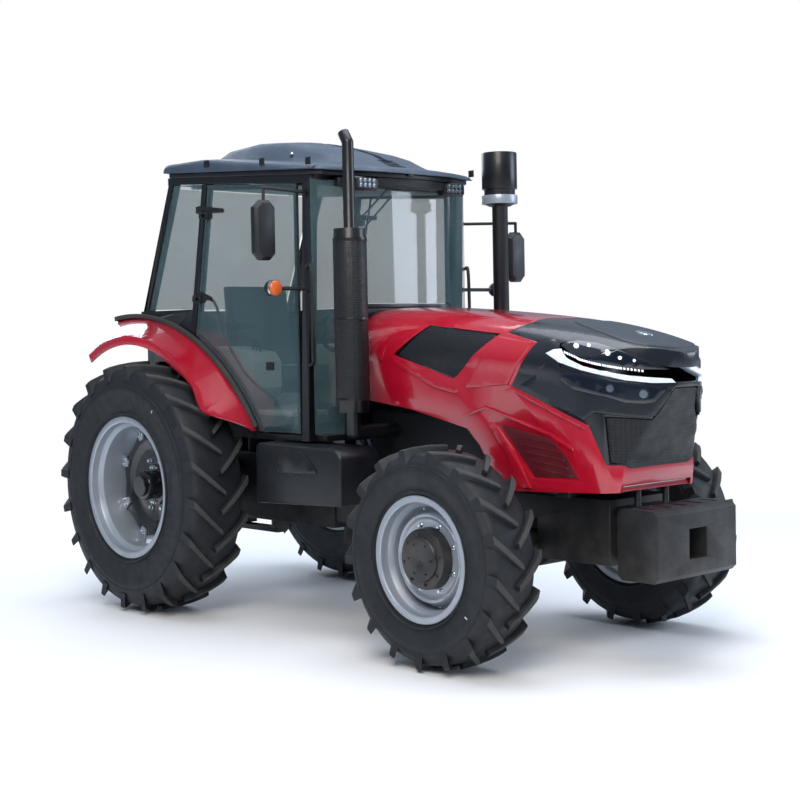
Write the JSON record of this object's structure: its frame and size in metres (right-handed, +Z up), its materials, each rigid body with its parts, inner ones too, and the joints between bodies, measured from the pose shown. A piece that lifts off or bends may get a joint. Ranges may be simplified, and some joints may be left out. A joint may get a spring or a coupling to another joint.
{
  "type": "farm tractor",
  "caption": "Four-wheel-drive farm tractor with cab, tilting hood, opening doors, steered front wheels and rear three-point linkage.",
  "frame": {"origin": "on the ground, under the middle of the overall length and width", "axes": "+X forward, +Y to the left, +Z up"},
  "size_m": [4.826, 2.22, 3.0919],
  "materials": {
    "cast_black": "painted casting",
    "cab_glass": "tinted",
    "black_paint": "satin paint",
    "lamp_glass": "clear",
    "mesh_black": "matt paint",
    "nose_black": "satin plastic",
    "red_paint": "gloss paint",
    "rim_silver": "semi-gloss paint",
    "roof_plastic": "matt plastic",
    "seat_fabric": "woven",
    "bright_steel": "machined",
    "black_plastic": "matt plastic",
    "tyre": "matt rubber"
  },
  "bodies": {
    "chassis": {"cab_cowl": "black_paint", "cab_floor": "black_paint", "cab_frame": "black_paint", "cab_glass": "cab_glass", "cab_roof": "roof_plastic", "drawbar": "black_paint", "drive_shaft": "black_paint", "engine_block": "cast_black", "fenders": "red_paint", "front_axle": "cast_black", "front_frame": "cast_black", "front_weights": "cast_black", "fuel_tanks": "black_plastic", "intake_stack": "black_paint", "lamps": "lamp_glass", "mirrors": "black_plastic", "muffler": "black_paint", "radiator": "cast_black", "roof_header": "black_plastic", "seat": "seat_fabric", "steering_column": "black_plastic", "top_link": "black_paint", "transmission_housing": "cast_black"},
    "rear_right_wheel": {"rear_right_tyre": "tyre", "rear_right_rim": "rim_silver", "rear_right_hub": "black_paint"},
    "rear_left_wheel": {"rear_left_tyre": "tyre", "rear_left_rim": "rim_silver", "rear_left_hub": "black_paint"},
    "front_right_wheel": {"front_right_tyre": "tyre", "front_right_rim": "rim_silver", "front_right_hub": "black_paint"},
    "front_left_wheel": {"front_left_tyre": "tyre", "front_left_rim": "rim_silver", "front_left_hub": "black_paint"},
    "right_steering": {"right_knuckle": "black_paint"},
    "left_steering": {"left_knuckle": "black_paint"},
    "right_door": {"right_door_glass": "cab_glass", "right_door_frame": "black_paint"},
    "left_door": {"left_door_glass": "cab_glass", "left_door_frame": "black_paint"},
    "hood": {"hood_shell": "red_paint", "hood_nose": "nose_black", "hood_mesh": "mesh_black", "hood_lamps": "lamp_glass"},
    "rear_window_leaf": {"rear_window": "cab_glass"},
    "power_take_off": {"pto_shaft": "bright_steel"},
    "lower_link_pair": {"lower_links": "black_paint"},
    "lift_arm_pair": {"lift_arms": "black_paint"},
    "lift_rod_pair": {"lift_rods": "black_paint"}
  },
  "joints": [
    {"name": "rear_right_roll", "type": "hinge", "parent": "chassis", "child": "rear_right_wheel", "pos_m": [-1.357, -0.895, 0.8275], "axis": [0, 1, 0], "continuous": true},
    {"name": "rear_left_roll", "type": "hinge", "parent": "chassis", "child": "rear_left_wheel", "pos_m": [-1.357, 0.895, 0.8275], "axis": [0, 1, 0], "continuous": true},
    {"name": "left_steer", "type": "hinge", "parent": "chassis", "child": "left_steering", "pos_m": [1.357, 0.655, 0.605], "axis": [0, 0, 1], "range_deg": [-35, 35]},
    {"name": "right_steer", "type": "hinge", "parent": "chassis", "child": "right_steering", "pos_m": [1.357, -0.655, 0.605], "axis": [0, 0, 1], "range_deg": [-35, 35]},
    {"name": "front_right_roll", "type": "hinge", "parent": "right_steering", "child": "front_right_wheel", "pos_m": [1.357, -0.86, 0.605], "axis": [0, 1, 0], "continuous": true},
    {"name": "front_left_roll", "type": "hinge", "parent": "left_steering", "child": "front_left_wheel", "pos_m": [1.357, 0.86, 0.605], "axis": [0, 1, 0], "continuous": true},
    {"name": "right_door_swing", "type": "hinge", "parent": "chassis", "child": "right_door", "pos_m": [-1.05721, -0.681, 2.33], "axis": [-0.1734, 0, -0.9849], "range_deg": [0, 70]},
    {"name": "left_door_swing", "type": "hinge", "parent": "chassis", "child": "left_door", "pos_m": [-1.05721, 0.681, 2.33], "axis": [0.1734, 0, 0.9849], "range_deg": [0, 70]},
    {"name": "hood_lift", "type": "hinge", "parent": "chassis", "child": "hood", "pos_m": [0.262, 0, 1.898], "axis": [0, -1, 0], "range_deg": [0, 45]},
    {"name": "rear_window_lift", "type": "hinge", "parent": "chassis", "child": "rear_window_leaf", "pos_m": [-1.432, 0, 2.834], "axis": [0, 1, 0], "range_deg": [0, 40]},
    {"name": "power_take_off_spin", "type": "hinge", "parent": "chassis", "child": "power_take_off", "pos_m": [-1.69, 0, 0.64], "axis": [1, 0, 0], "continuous": true},
    {"name": "linkage_lift", "type": "hinge", "parent": "chassis", "child": "lower_link_pair", "pos_m": [-1.49, 0, 0.61], "axis": [0, 1, 0], "range_deg": [-12, 28]},
    {"name": "lift_arm_turn", "type": "hinge", "parent": "chassis", "child": "lift_arm_pair", "pos_m": [-1.63, 0, 1.068], "axis": [0, 1, 0], "range_deg": [-16.1, 37.5]},
    {"name": "lift_rod_swing", "type": "hinge", "parent": "lift_arm_pair", "child": "lift_rod_pair", "pos_m": [-1.975, 0, 1.073], "axis": [0, 1, 0], "range_deg": [-34, 14.6]}
  ],
  "couplings": [
    {"joint": "right_steer", "follows": "left_steer", "ratio": 1},
    {"joint": "lift_arm_turn", "follows": "linkage_lift", "ratio": 1.3386},
    {"joint": "lift_rod_swing", "follows": "linkage_lift", "ratio": -1.2142}
  ]
}
